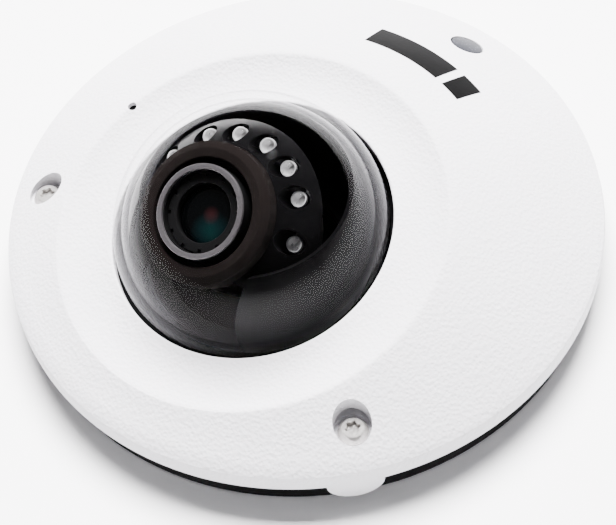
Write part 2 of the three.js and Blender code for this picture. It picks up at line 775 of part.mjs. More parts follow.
function buildLiner() {
  const steps = 6;
  const bottom = linerFoot;
  const outerStart = Math.asin(bottom / linerRadius);
  const innerRadius = linerRadius - linerWall;
  const innerStart = Math.asin(bottom / innerRadius);
  const top = Math.PI / 2 - linerTopAngle;
  const outer = arc(linerRadius, outerStart, top, steps);
  const inner = arc(innerRadius, top, innerStart, steps);
  const slotHalf = foamRadius + runGap;
  const slot = block(
    [-slotHalf, slotHalf], [-2 * linerRadius, 0], [panRingTop + 1, 2 * linerRadius],
  );
  return cut(turned([...outer, ...inner], smooth), slot);
}
piece(panFrame, 'liner', 'glossBlack', buildLiner());

for (const [side, word] of [[-1, 'left'], [1, 'right']]) {
  const outline = new THREE.Shape();
  const half = armWidth / 2;
  const bottom = linerFoot;
  outline.moveTo(-half, bottom);
  outline.lineTo(half, bottom);
  outline.lineTo(half, 0);
  outline.absarc(0, 0, half, 0, Math.PI, false);
  outline.lineTo(-half, bottom);
  const plate = new THREE.ExtrudeGeometry(outline, {
    depth: armThickness, bevelEnabled: false, curveSegments: coarse,
  });
  plate.rotateX(Math.PI / 2).rotateZ(Math.PI / 2).translate(armInner, 0, 0);
  const foot = block([armInner + 0.5, footOuter], [-half, half], [bottom, bottom + armFootThickness]);
  const hole = rod(pinRadius + 0.15, 0, footOuter).rotateY(Math.PI / 2);
  const arm = cut(join(plate, foot), hole);
  const pin = join(
    rod(pinRadius, carrierBore + seatGap, armOuter + 0.5).rotateY(Math.PI / 2),
    rod(pinHeadRadius, armOuter + layGap, armOuter + layGap + pinHeadHeight).rotateY(Math.PI / 2),
  );
  const turn = side > 0 ? 0 : Math.PI;
  piece(panFrame, `yoke_arm_${word}`, 'blackPlastic', arm.rotateZ(turn));
  piece(panFrame, `tilt_pin_${word}`, 'steel', pin.rotateZ(turn));
}

// ---------- tilting carrier with the infrared lamps ----------
const reachOut = 2 * bubbleRadius;
const upperHalf = block([-reachOut, reachOut], [hoodCut, reachOut], [-reachOut, reachOut]);
const ledPlaces = ledAngles.map((angle) => polar(ledRingRadius, angle));

function buildCarrier() {
  const bore = carrierBore;
  const face = carrierFront - carrierFace;
  const drum = turned([
    [bore, carrierBack],
    [carrierRadius, carrierBack],
    [carrierRadius, carrierFront],
    [lensHeadRadius + runGap, carrierFront],
    [lensHeadRadius + runGap, face],
    [bore, face],
  ], smooth);
  const shelfTop = ledBoardLevel - layGap;
  const shelfRing = tube(bore + 0.5, ledBoardRadius, shelfTop - shelfThickness, shelfTop, smooth);
  const shelf = common(shelfRing, upperHalf);
  const bosses = [0, Math.PI].map((turn) => (
    rod(trunnionRadius, bore + 0.3, armInner - 0.4).rotateY(Math.PI / 2).rotateZ(turn)
  ));
  const pinHole = rod(pinRadius + 0.25, -armOuter, armOuter).rotateY(Math.PI / 2);
  return cut(join(drum, shelf, ...bosses), pinHole);
}
piece(lensFrame, 'carrier', 'blackPlastic', buildCarrier());

function buildHood() {
  const steps = 4;
  const rim = Math.PI / 2 - hoodAngle;
  const innerRadius = hoodRadius - hoodWall;
  const mouth = carrierRadius + 0.5;
  const outer = arc(hoodRadius, rim, Math.acos(mouth / hoodRadius), steps);
  const inner = arc(innerRadius, Math.acos(mouth / innerRadius), rim, steps);
  const shell = turned([...outer, ...inner], smooth);
  const collar = tube(mouth, mouth + hoodCollar, ledFoot + 0.1, carrierFront + 0.2, smooth);
  const wells = ledPlaces.map(([x, y]) => rod(ledRadius + ledWellGap, 0, reachOut).translate(x, y, 0));
  return cut(common(join(shell, collar), upperHalf), ...wells);
}
piece(lensFrame, 'hood', 'glossBlack', buildHood());

const ledBoardShape = common(
  tube(carrierRadius + 0.3, ledBoardRadius, ledBoardLevel, ledFoot, smooth), upperHalf,
);
piece(lensFrame, 'led_board', 'board', ledBoardShape);
ledPlaces.forEach(([x, y], index) => {
  const shoulder = ledFoot + ledBody;
  const flangeRadius = ledRadius + ledFlange;
  const foot = ledFoot + layGap;
  const led = turned([
    [0, foot],
    [flangeRadius, foot],
    [flangeRadius, foot + ledFlangeHeight],
    [ledRadius, foot + ledFlangeHeight],
    ...arc(ledRadius, 0, Math.PI / 2, 3).slice(0, 3).map(([r, z]) => [r, z + shoulder]),
    [0, shoulder + ledRadius],
  ], rough);
  piece(lensFrame, `ir_led_${index + 1}`, 'clear', led.translate(x, y, 0));
});
// The foam's sloping edge keeps one gap all along the inside of the bubble.
piece(lensFrame, 'foam_ring', 'foam', turned([
  [foamBore, carrierFront + layGap],
  [foamRadius, carrierFront + layGap],
  [foamRadius, foamShoulder],
  [foamRadius - foamSlope, foamFront],
  [foamBore, foamFront],
], smooth));

// ---------- turning lens holder, sensor and day-night filter ----------
function buildHolder() {
  const thread = lensThreadRadius + threadGap;
  const body = turned([
    [holderBore, holderBack],
    [holderRadius, holderBack],
    [holderRadius, holderFlange],
    [thread + holderNeckWall, holderFlange],
    [thread + holderNeckWall, holderNeckTop],
    [thread, holderNeckTop],
    [thread, holderStep],
    [holderBore, holderStep],
  ], medium);
  const track = block(
    [-filterHalf - 0.3, filterHalf + filterTravel + 0.3],
    [-filterHalf - 0.3, filterHalf + 0.3],
    [filterLevel - 0.3, filterLevel + filterThickness + 0.3],
  );
  return cut(body, track);
}
piece(lensFrame, 'lens_holder', 'blackPlastic', buildHolder());
const filterTop = filterLevel + filterThickness;
const filterFrame = cut(
  block([-filterHalf, filterHalf], [-filterHalf, filterHalf], [filterLevel, filterTop]),
  rod(filterGlassRadius + 0.2, -5, 5),
);
piece(lensFrame, 'filter_frame', 'blackPlastic', filterFrame);
piece(lensFrame, 'day_filter', 'tinted', rod(filterGlassRadius, filterLevel + 0.1, filterTop - 0.1));
const sensorBoardHalf = (holderRadius - 0.1) / Math.SQRT2;
const sensorBoardTop = holderBack - seatGap;
piece(lensFrame, 'sensor_board', 'board', block(
  [-sensorBoardHalf, sensorBoardHalf],
  [-sensorBoardHalf, sensorBoardHalf],
  [sensorBoardTop - boardThickness, sensorBoardTop],
));
piece(lensFrame, 'image_sensor', 'chip', block(
  [-sensorHalf[0], sensorHalf[0]],
  [-sensorHalf[1], sensorHalf[1]],
  [sensorBoardTop + layGap, sensorBoardTop + layGap + 0.85],
));

// ---------- lens ----------
const barrelFront = lensFront - lensRingHeight;
const lensShelf = lensFront - lensRecess;

function buildBarrel() {
  const bore = lensBore;
  const recess = lensHeadRadius - lensRecessWall;
  return turned([
    [bore, lensBack],
    [lensThreadRadius, lensBack],
    [lensThreadRadius, lensHeadBack],
    [lensHeadRadius, lensHeadBack],
    [lensHeadRadius, barrelFront],
    [recess, barrelFront],
    [recess, lensShelf],
    [frontGlassRadius + 0.2, lensShelf],
    [frontGlassRadius + 0.2, lensShelf - frontGlassBack - 0.1],
    [bore, lensShelf - frontGlassBack - 0.1],
  ], smooth);
}
piece(lensFrame, 'lens_barrel', 'blackPlastic', buildBarrel());
piece(lensFrame, 'lens_front_ring', 'greyMetal', tube(
  lensHeadRadius - lensRingWidth, lensHeadRadius, barrelFront + layGap, lensFront, smooth,
));

function buildRetainingRing() {
  const outer = lensHeadRadius - retainingInset;
  const inner = frontGlassRadius - retainingLap;
  const notches = [];
  for (let i = 0; i < retainingNotches; i += 1) {
    const notch = block(
      [outer - 0.6, outer + 0.5], [-notchHalf, notchHalf], [lensShelf + 0.4, lensShelf + 2],
    );
    notches.push(notch.rotateZ((i * 2 * Math.PI) / retainingNotches));
  }
  return cut(tube(inner, outer, lensShelf + layGap, lensShelf + retainingHeight, smooth), ...notches);
}
piece(lensFrame, 'lens_retaining_ring', 'greyMetal', buildRetainingRing());

const glassEdge = lensShelf - frontGlassEdge;
const frontLens = turned([
  [0, lensShelf - frontGlassBack],
  [frontGlassRadius, lensShelf - frontGlassBack],
  [frontGlassRadius, glassEdge],
  [frontGlassRadius * 0.85, glassEdge + frontGlassCrown * 0.4],
  [frontGlassRadius * 0.6, glassEdge + frontGlassCrown * 0.75],
  [frontGlassRadius * 0.3, glassEdge + frontGlassCrown * 0.95],
  [0, glassEdge + frontGlassCrown],
], medium);
piece(lensFrame, 'front_lens', 'lensGlass', frontLens);
piece(lensFrame, 'rear_lens', 'lensGlass', rod(...rearGlass, medium));

export default camera;
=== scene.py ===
# %% [markdown]
# # A small dome security camera
# A white leaning cover on a black base, with a clear bubble over a lens that pans, tilts and turns.
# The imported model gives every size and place. Here the pieces that are seen get rounded edges, fine
# steps and real finishes, and the rest keep their shape and get a better finish.

# %% Load the frame
import json
import math
import bpy
from mathutils import Matrix, Vector


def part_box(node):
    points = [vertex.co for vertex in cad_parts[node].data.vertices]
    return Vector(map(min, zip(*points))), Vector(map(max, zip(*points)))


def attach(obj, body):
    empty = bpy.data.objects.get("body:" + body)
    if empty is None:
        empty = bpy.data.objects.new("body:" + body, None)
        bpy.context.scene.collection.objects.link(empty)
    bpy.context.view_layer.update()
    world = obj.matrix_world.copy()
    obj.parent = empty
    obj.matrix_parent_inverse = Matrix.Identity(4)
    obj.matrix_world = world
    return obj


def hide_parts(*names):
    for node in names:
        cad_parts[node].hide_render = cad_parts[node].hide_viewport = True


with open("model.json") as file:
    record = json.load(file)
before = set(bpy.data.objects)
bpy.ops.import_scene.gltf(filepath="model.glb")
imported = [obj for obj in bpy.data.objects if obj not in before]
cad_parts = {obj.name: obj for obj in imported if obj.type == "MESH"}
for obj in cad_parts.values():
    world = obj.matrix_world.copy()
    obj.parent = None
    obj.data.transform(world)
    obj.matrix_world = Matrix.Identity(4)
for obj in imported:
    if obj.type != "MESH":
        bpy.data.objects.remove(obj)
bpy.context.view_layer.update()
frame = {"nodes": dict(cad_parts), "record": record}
nodes = frame["nodes"]
MM = 0.001

# %% [markdown]
# ## Sizes shared by several pieces
# The cover leans as a whole: its ridge, dish and opening sit in one tilted plane. Keeping that
# plane as one matrix means the bubble and the opening agree.

# %% Sizes in millimetres
COVER_R, COVER_WALL = 55.0, 2.0
EDGE_Z, LIP_H, LIP_IN = 6.0, 4.0, 0.7
RIDGE_R, RIDGE_Z, RIDGE_OFF = 35.8, 20.25, 12.5
LEAN = math.radians(10.1)
OPEN_R, OPEN_DROP = 25.6, 0.5
BUBBLE_R, BUBBLE_WALL, BUBBLE_DROP = 25.0, 1.5, 2.4
LENS_LEAN = math.radians(32)
LIP_R, LIP_TOP = COVER_R - LIP_IN, EDGE_Z + LIP_H
HEART = Vector((
    0, -RIDGE_OFF + BUBBLE_DROP * math.sin(LEAN), RIDGE_Z - BUBBLE_DROP * math.cos(LEAN)))
dome_place = Matrix.Translation((0, -RIDGE_OFF, RIDGE_Z)) @ Matrix.Rotation(LEAN, 4, "X")
lens_place = Matrix.Translation(HEART) @ Matrix.Rotation(LENS_LEAN, 4, "X")
pan_place = Matrix.Translation(HEART)
cover_across = (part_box("cover")[1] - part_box("cover")[0]).x / MM
print("cover across, frame and here, mm", cover_across, 2 * COVER_R)


# %% [markdown]
# ## Drawing a turned shape
# Round parts are made as on a lathe: one outline, spun about an axis. The outline starts as a small
# plane merged to a single point, and each step extrudes that point. Sharp corners look false under
# soft light, so every corner of the outline can be given a small radius first.

# %% Helpers for drawing and turning
def deselect():
    for thing in bpy.context.selected_objects:
        thing.select_set(False)


def take_up(thing):
    if bpy.context.object and bpy.context.object.mode != "OBJECT":
        bpy.ops.object.mode_set(mode="OBJECT")
    deselect()
    thing.select_set(True)
    bpy.context.view_layer.objects.active = thing


def softened(outline, closed=True, steps=5):
    """Corners given as (r, z, radius) become short arcs; a corner without a radius stays sharp."""
    result = []
    count = len(outline)
    for i, corner in enumerate(outline):
        here = Vector(corner[:2])
        radius = corner[2] if len(corner) > 2 else 0
        ends = not closed and i in (0, count - 1)
        if radius == 0 or ends:
            result.append(tuple(here))
            continue
        before = Vector(outline[i - 1][:2]) - here
        after = Vector(outline[(i + 1) % count][:2]) - here
        half = before.angle(after) / 2
        run = min(radius / math.tan(half), before.length * 0.45, after.length * 0.45)
        a, b = here + before.normalized() * run, here + after.normalized() * run
        for k in range(steps + 1):
            t = k / steps
            result.append(tuple((1 - t) ** 2 * a + 2 * t * (1 - t) * here + t * t * b))
    return result


def spun(name, outline, steps=96, closed=True, place=None):
    """Turns an outline of (r, z) about Z, in millimetres, and sets it in place."""
    deselect()
    first = outline[0]
    bpy.ops.mesh.primitive_plane_add(size=0.1, location=(0, 0, 0))
    thing = bpy.context.object
    thing.name = thing.data.name = name
    bpy.ops.object.mode_set(mode="EDIT")
    bpy.ops.mesh.select_all(action="SELECT")
    bpy.ops.mesh.merge(type="CENTER")
    bpy.ops.transform.translate(value=(first[0], 0, first[1]))
    trail = list(outline[1:]) + ([first] if closed else [])
    at = first
    for point in trail:
        move = (point[0] - at[0], 0, point[1] - at[1])
        bpy.ops.mesh.extrude_vertices_move(TRANSFORM_OT_translate={"value": move})
        at = point
    bpy.ops.mesh.select_all(action="SELECT")
    bpy.ops.mesh.remove_doubles(threshold=1e-5)
    bpy.ops.mesh.select_all(action="SELECT")
    bpy.ops.mesh.spin(steps=steps, angle=2 * math.pi, center=(0, 0, 0), axis=(0, 0, 1))
    bpy.ops.mesh.select_all(action="SELECT")
    bpy.ops.mesh.remove_doubles(threshold=1e-4)
    bpy.ops.mesh.normals_make_consistent(inside=False)
    bpy.ops.object.mode_set(mode="OBJECT")
    return settle(thing, place) if place is not None else thing


def settle(thing, place):
    """Moves a piece drawn in millimetres to its place in metres, with its place in its mesh."""
    take_up(thing)
    thing.matrix_world = Matrix.Scale(MM, 4) @ place @ thing.matrix_world
    bpy.ops.object.transform_apply(location=True, rotation=True, scale=True)
    return thing


def combine(thing, other, how):
    """Cuts, joins or trims with another solid, which is used up."""
    take_up(thing)
    change = thing.modifiers.new(how.lower(), "BOOLEAN")
    change.operation, change.object, change.solver = how, other, "MANIFOLD"
    before = len(thing.data.vertices)
    bpy.ops.object.modifier_apply(modifier=change.name)
    bpy.data.objects.remove(other)
    print(thing.name, how.lower(), "points", before, "to", len(thing.data.vertices))
    return thing


def smooth(thing, degrees=32):
    take_up(thing)
    bpy.ops.object.shade_smooth_by_angle(angle=math.radians(degrees))
    return thing


def peg(radius, low, high, at=(0, 0), sides=48):
    deselect()
    bpy.ops.mesh.primitive_cylinder_add(
        vertices=sides, radius=radius, depth=high - low, location=(at[0], at[1], (low + high) / 2))
    bpy.ops.object.transform_apply(location=True, rotation=True, scale=True)
    return bpy.context.object


def slab(low, high):
    deselect()
    middle = [(a + b) / 2 for a, b in zip(low, high)]
    bpy.ops.mesh.primitive_cube_add(size=1, location=middle)
    bpy.context.object.scale = [b - a for a, b in zip(low, high)]
    bpy.ops.object.transform_apply(location=True, rotation=True, scale=True)
    return bpy.context.object


def bow(radius, start, end, steps):
    turn = [start + (end - start) * i / steps for i in range(steps + 1)]
    return [(radius * math.cos(a), radius * math.sin(a)) for a in turn]


def finished(thing, finish, body, stands_for=()):
    thing.data.materials.clear()
    thing.data.materials.append(finish)
    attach(thing, body)
    if stands_for:
        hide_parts(*stands_for)
    print(thing.name, "faces", len(thing.data.polygons))
    return thing


# %% [markdown]
# ## Writing shader maths as sums
# A node tree reads best as a formula. One small class wraps a socket, so `mask * 0.5 + 0.2` adds
# its own Math nodes.

# %% A socket that can be added and multiplied
class Val:
    def __init__(self, finish, socket):
        self.finish, self.socket = finish, socket

    def _maths(self, kind, a, b):
        node = self.finish.tree.nodes.new("ShaderNodeMath")
        node.operation = kind
        for slot, value in zip(node.inputs, (a, b)):
            if isinstance(value, Val):
                self.finish.tree.links.new(value.socket, slot)
            else:
                slot.default_value = value
        return Val(self.finish, node.outputs[0])

    def __add__(self, other): return self._maths("ADD", self, other)
    def __radd__(self, other): return self._maths("ADD", other, self)
    def __mul__(self, other): return self._maths("MULTIPLY", self, other)
    def __rmul__(self, other): return self._maths("MULTIPLY", other, self)
    def __pow__(self, other): return self._maths("POWER", self, other)


class Finish:
    def __init__(self, name, **constants):
        self.material = bpy.data.materials.new(name)
        self.material.use_nodes = True
        self.tree = self.material.node_tree
        self.shader = self.tree.nodes["Principled BSDF"]
        for socket, value in constants.items():
            self.shader.inputs[socket.replace("_", " ")].default_value = value

    def node(self, kind, settings=None, inputs=None, out=0):
        node = self.tree.nodes.new(kind)
        for key, value in (settings or {}).items():
            if key == "stops":
                ramp = node.color_ramp
                while len(ramp.elements) < len(value):
                    ramp.elements.new(0.5)
                for element, (at, colour) in zip(ramp.elements, value):
                    element.position, element.color = at, colour
            else:
                setattr(node, key, value)
        for key, value in (inputs or {}).items():
            if isinstance(value, Val):
                self.tree.links.new(value.socket, node.inputs[key])
            else:
                node.inputs[key].default_value = value
        return Val(self, node.outputs[out])

    def place(self):
        return self.node("ShaderNodeTexCoord", out="Object")

    def noise(self, per_metre, detail=3, rough=0.5):
        return self.node("ShaderNodeTexNoise", None, {
            "Vector": self.place(), "Scale": per_metre, "Detail": detail, "Roughness": rough})

    def ramp(self, value, stops):
        return self.node("ShaderNodeValToRGB", {"stops": stops}, {"Fac": value})

    def feed(self, socket, value):
        self.tree.links.new(value.socket, self.shader.inputs[socket])

    def bump(self, height, strength, depth):
        self.feed("Normal", self.node("ShaderNodeBump", None, {
            "Height": height, "Strength": strength, "Distance": depth}))


def grey(v, tint=(1, 1, 1)):
    return (v * tint[0], v * tint[1], v * tint[2], 1)


# %% [markdown]
# ## Finishes
# Powder coat shrinks into a fine leather grain as it cures. A soft cell pattern with a little fine
# noise over it gives that wrinkle better than noise alone, which looks like sand.

# %% Painted, moulded and rubber finishes
def powder_coat():
    f = Finish("white_powder_coat", Specular_IOR_Level=0.4)
    wrinkle = f.node("ShaderNodeTexVoronoi", {"feature": "SMOOTH_F1"}, {
        "Vector": f.place(), "Scale": 1500.0, "Smoothness": 0.7})
    fine = f.noise(2800.0, 2)
    height = wrinkle * 0.65 + fine * 0.35
    f.bump(height, 0.6, 0.00030)
    f.feed("Roughness", f.noise(700.0) * 0.14 + 0.42)
    tone = f.noise(45.0, 2)
    f.feed("Base Color", f.ramp(tone, [
        (0.3, (0.655, 0.645, 0.670, 1)), (0.7, (0.680, 0.670, 0.692, 1))]))
    return f.material


def moulded(name, tone, rough, grain=1600.0, depth=0.00004, tint=(1, 1, 1.04), **shine):
    f = Finish(name, **shine)
    grainy = f.noise(grain, 3)
    f.bump(grainy, 0.25, depth)
    f.feed("Roughness", f.noise(300.0) * 0.10 + (rough - 0.05))
    f.feed("Base Color", f.ramp(f.noise(160.0), [
        (0.3, grey(tone * 0.85, tint)), (0.7, grey(tone * 1.15, tint))]))
    return f.material


def board_finish(name, field, second, track):
    f = Finish(name, Roughness=0.35)
    tracks = f.node("ShaderNodeTexBrick", {"offset": 0.4}, {
        "Vector": f.place(), "Scale": 220.0, "Color1": field,
        "Color2": second, "Mortar": track, "Mortar Size": 0.03})
    f.feed("Base Color", tracks)
    f.bump(f.noise(1500.0), 0.1, 0.00003)
    return f.material


def metal(name, tone, rough, tint=(1, 1, 1), grain=2600.0, polish=0.7):
    f = Finish(name, Metallic=polish)
    f.feed("Base Color", f.ramp(f.noise(grain, 2), [
        (0.3, grey(tone * 0.9, tint)), (0.7, grey(tone * 1.08, tint))]))
    f.feed("Roughness", f.noise(grain, 2) * 0.16 + (rough - 0.08))
    return f.material


WHITE = powder_coat()
CASTING = moulded("black_cast_coat", 0.003, 0.5, 900.0, 0.00008, Specular_IOR_Level=0.05)
SATIN = moulded("satin_black_moulding", 0.003, 0.34, Specular_IOR_Level=0.18)
GLOSS = moulded("gloss_black_moulding", 0.0016, 0.30, 500.0, 0.000006, (1, 0.97, 1.06),
                Specular_IOR_Level=0.035)
RUBBER = moulded("black_rubber", 0.003, 0.72, 1300.0, 0.00008, Specular_IOR_Level=0.2)
FOAM = moulded("closed_cell_foam", 0.0034, 0.93, 5200.0, 0.00012, (1.25, 1.0, 0.95),
               Specular_IOR_Level=0.03)
CHIP = moulded("moulded_epoxy", 0.02, 0.42)
CREAM = moulded("cream_nylon", 0.6, 0.45, tint=(1, 0.95, 0.78))
BOARD = board_finish(
    "green_solder_mask", (0.012, 0.11, 0.04, 1), (0.018, 0.15, 0.055, 1), (0.03, 0.22, 0.09, 1))
DARK_BOARD = board_finish("black_solder_mask", grey(0.002), grey(0.003), grey(0.006))
STEEL = metal("bright_stainless", 0.62, 0.22, (1, 0.97, 0.93))
CUP = metal("silvered_cup", 0.55, 0.30, polish=0.55)
GREY_METAL = metal("satin_anodised_grey", 0.095, 0.38, (1.03, 0.97, 1.02))


# %% [markdown]
# ## Clear parts and glass
# The bubble is thin, so light crosses it almost unbent: it is treated as open air with a mirror
# mixed in, hardly at all face on and strongly towards its edge. Mixing in bending glass instead
# would trap light in the wall and draw bright arcs that aren't there. The lamps are solid clear
# epoxy. Coated lens glass is dark from outside. Its green sheen and warm glint are painted at fixed
# places, as the inner surfaces that would make them aren't modelled.

# %% Clear, glass and tinted finishes
def clear(name, ior, rough, shine, tone=(0.99, 0.99, 1.0, 1)):
    f = Finish(name, IOR=ior, Transmission_Weight=1.0, Base_Color=tone, Specular_IOR_Level=shine)
    f.feed("Roughness", f.noise(60.0) * 0.012 + rough)
    return f.material


def clear_bubble():
    f = Finish("clear_polycarbonate", Metallic=1.0, Base_Color=(0.95, 0.95, 0.97, 1))
    f.feed("Roughness", f.noise(60.0) * 0.02)
    facing = f.node("ShaderNodeLayerWeight", None, {"Blend": 0.5}, out="Facing")
    open_air = f.tree.nodes.new("ShaderNodeBsdfTransparent")
    blend = f.tree.nodes.new("ShaderNodeMixShader")
    f.tree.links.new((facing ** 6.0 * 0.70 + 0.003).socket, blend.inputs[0])
    f.tree.links.new(open_air.outputs[0], blend.inputs[1])
    f.tree.links.new(f.shader.outputs[0], blend.inputs[2])
    f.tree.links.new(blend.outputs[0], f.tree.nodes["Material Output"].inputs["Surface"])
    return f.material


def coated_glass():
    f = Finish("coated_lens_glass", IOR=1.6, Roughness=0.03, Specular_IOR_Level=0.3)
    sheen_at, glint_at = Vector((0.0030, -0.0245, 0.0330)), Vector((0.0010, -0.0215, 0.0335))
    green, teal = (0.0016, 0.013, 0.0115, 1), (0.0009, 0.004, 0.0045, 1)
    dark, ember = (0.0004, 0.0005, 0.0006, 1), (0.014, 0.004, 0.0045, 1)

    def reach(point):
        return f.node("ShaderNodeVectorMath", {"operation": "DISTANCE"},
                      {0: f.place(), 1: point}, out="Value")

    sheen = f.ramp(reach(sheen_at) * 160.0 + f.noise(400.0) * 0.2, [
        (0.15, green), (0.55, teal), (0.85, dark)])
    glint = f.ramp(reach(glint_at) * 420.0, [(0.0, grey(0.8)), (0.75, grey(0))])
    f.feed("Base Color", f.node(
        "ShaderNodeMix", {"data_type": "RGBA"}, {0: glint, 6: sheen, 7: ember}, out=2))
    return f.material


def smoked():
    f = Finish("speckled_smoked_window", Roughness=0.30, Specular_IOR_Level=0.08)
    dots = f.node("ShaderNodeTexVoronoi", None, {"Vector": f.place(), "Scale": 1500.0})
    f.feed("Base Color", f.ramp(dots, [
        (0.16, (0.045, 0.048, 0.060, 1)), (0.30, (0.008, 0.009, 0.014, 1))]))
    return f.material


CLEAR = clear_bubble()
LAMP = clear("water_clear_epoxy", 1.52, 0.01, 0.5)
GLASS = coated_glass()
SMOKED = smoked()
INK = moulded("printed_ink", 0.0018, 0.5, Specular_IOR_Level=0.06)


# %% [markdown]
# ## The cover
# This is one shell whose ridge and opening lean towards the low side while its rim stays level. It
# is turned upright first, which keeps it round, and then every point is leant by how far in it is.
# No modifier leans by radius, so that one step moves the points directly.

# %% Turn and lean the cover
SKIRT_BULGE, DISH_SAG = 3.6, 3.6


def skirt_z(r):
    share = (LIP_R - r) / (LIP_R - RIDGE_R)
    return LIP_TOP + (RIDGE_Z - LIP_TOP) * share + SKIRT_BULGE * share * (1 - share)


def dish_z(r):
    share = (RIDGE_R - r) / (RIDGE_R - OPEN_R)
    return RIDGE_Z - OPEN_DROP * share - DISH_SAG * share * (1 - share)


def cover_outline():
    inner = COVER_R - COVER_WALL
    under = RIDGE_Z - OPEN_DROP - COVER_WALL - 0.3
    line = [(inner, EDGE_Z, 0.2), (COVER_R, EDGE_Z, 0.35), (COVER_R, EDGE_Z + 2.4)]
    line += [(COVER_R - 0.21, EDGE_Z + 3.52), (LIP_R, LIP_TOP)]
    steps = 12
    for i in range(1, steps):
        r = LIP_R + (RIDGE_R - LIP_R) * i / steps
        line.append((r, skirt_z(r)))
    line.append((RIDGE_R, RIDGE_Z, 2.2))
    for i in range(1, 8):
        r = RIDGE_R + (OPEN_R - RIDGE_R) * i / 8
        line.append((r, dish_z(r)))
    line += [(OPEN_R, dish_z(OPEN_R), 0.5), (OPEN_R, under, 0.2), (RIDGE_R - COVER_WALL, under)]
    for i in range(11, 0, -2):
        r = LIP_R + (RIDGE_R - LIP_R) * i / steps
        line.append((r - COVER_WALL / 2, skirt_z(r) - COVER_WALL * 1.2))
    line.append((inner, EDGE_Z + 2.4))
    return softened(line)


def lean_share(r):
    start = COVER_R - COVER_WALL
    return min(1, max(0, (start - r) / (start - RIDGE_R)))


def leant(point):
    share = lean_share(math.hypot(point.x, point.y))
    turned = Matrix.Rotation(LEAN * share, 3, "X") @ Vector((point.x, point.y, point.z - RIDGE_Z))
    return turned + Vector((0, -RIDGE_OFF * share, RIDGE_Z))


shell = spun("cover_shell", cover_outline(), 192)
for vertex in shell.data.vertices:
    vertex.co = leant(vertex.co)
shell.data.update()
print("cover points", len(shell.data.vertices))

# %% [markdown]
# The screw pockets run straight down through the sloping skirt, which is what makes their mouths
# egg-shaped. Each ends on a boss that the screw head sits on.

# %% Bosses, pockets, holes and the edge tab
SCREW_R, SCREW_TURN, SCREW_SEAT = 47.8, math.radians(53.6), 10.9
BOSS_R, BOSS_FOOT, POCKET_R, POCKET_TOP, SHANK_HOLE_R = 4.4, 8.4, 3.35, 32, 1.8
MIC_TURN, MIC_HOLE_R = math.radians(172), 0.85
WINDOW_IN, WINDOW_SEAT_R, WINDOW_HOLE_R, WINDOW_SEAT_DEPTH = 6, 3.3, 2.3, 1.25
TAB_TURN, TAB_WALL, TAB_REACH, TAB_HALF, TAB_DROP = math.radians(52.3), 1.2, 4.2, 5.0, 4.0
screw_spots = [(SCREW_R * math.cos(-math.pi / 2 + s * SCREW_TURN),
                SCREW_R * math.sin(-math.pi / 2 + s * SCREW_TURN)) for s in (-1, 1)]
for spot in screw_spots:
    combine(shell, peg(BOSS_R, BOSS_FOOT, SCREW_SEAT + 0.6, spot), "UNION")
    combine(shell, peg(POCKET_R, SCREW_SEAT, POCKET_TOP, spot, 64), "DIFFERENCE")
    combine(shell, peg(SHANK_HOLE_R, 0, SCREW_SEAT + 0.5, spot), "DIFFERENCE")
mic_spot = ((RIDGE_R - 0.1) * math.cos(MIC_TURN), (RIDGE_R - 0.1) * math.sin(MIC_TURN))
mic_drill = peg(MIC_HOLE_R, -8, 4, mic_spot, 32)
mic_drill.data.transform(dome_place)
combine(shell, mic_drill, "DIFFERENCE")

window_ring = COVER_R - WINDOW_IN
near = leant(Vector((0, window_ring, skirt_z(window_ring))))
inward = leant(Vector((0, window_ring - 0.01, skirt_z(window_ring - 0.01)))) - near
window_up = Vector((1, 0, 0)).cross(-inward).normalized()
window_up = window_up if window_up.z > 0 else -window_up
window_place = Matrix.Translation(near) @ window_up.to_track_quat("Z", "Y").to_matrix().to_4x4()
for radius, low in ((WINDOW_SEAT_R, -WINDOW_SEAT_DEPTH), (WINDOW_HOLE_R, -8)):
    drill = peg(radius, low, 5, (0, 0), 64)
    drill.data.transform(window_place)
    combine(shell, drill, "DIFFERENCE")

tab = spun("tab_ring", [(COVER_R - TAB_WALL, EDGE_Z - TAB_REACH), (COVER_R, EDGE_Z - TAB_REACH),
                        (COVER_R, EDGE_Z + 1), (COVER_R - TAB_WALL, EDGE_Z + 1)], 192)
deselect()
bpy.ops.mesh.primitive_cylinder_add(vertices=96, radius=1, depth=8, location=(0, -COVER_R, EDGE_Z),
                                    rotation=(math.pi / 2, 0, 0))
tongue = bpy.context.object
tongue.scale = (TAB_HALF, TAB_DROP, 1)
bpy.ops.object.transform_apply(location=True, rotation=True, scale=True)
tongue.data.transform(Matrix.Rotation(TAB_TURN, 4, "Z"))
combine(tab, tongue, "INTERSECT")
combine(shell, tab, "UNION")
settle(shell, Matrix.Identity(4))
finished(smooth(shell, 28), WHITE, "cover", ["cover"])

# %% [markdown]
# ## The bubble
# A hemisphere on a short upright wall with a flange, with an outer and an inner surface as the real
# one has. It casts no shadow of its own: real clear plastic lets nearly all the light through to
# what is behind it.

# %% Turn the bubble
FLANGE_TOP, FLANGE_H, FLANGE_W = -4.0, 1.4, 2.4


def bubble_outline():
    bore = BUBBLE_R - BUBBLE_WALL
    foot, rim_r = FLANGE_TOP - FLANGE_H, BUBBLE_R + FLANGE_W
    inner = [(r, z - BUBBLE_DROP) for r, z in bow(bore, math.pi / 2, 0, 28)]
    outer = [(r, z - BUBBLE_DROP) for r, z in bow(BUBBLE_R, 0, math.pi / 2, 28)]
    inner[0], outer[-1] = (0, inner[0][1]), (0, outer[-1][1])
    flange = [(bore, foot), (rim_r, foot), (rim_r, FLANGE_TOP), (BUBBLE_R, FLANGE_TOP)]
    return inner + flange + outer


bubble = spun("clear_bubble", bubble_outline(), 128, closed=False, place=dome_place)
bubble.visible_shadow = False
finished(smooth(bubble, 40), CLEAR, "cover", ["dome_bubble"])

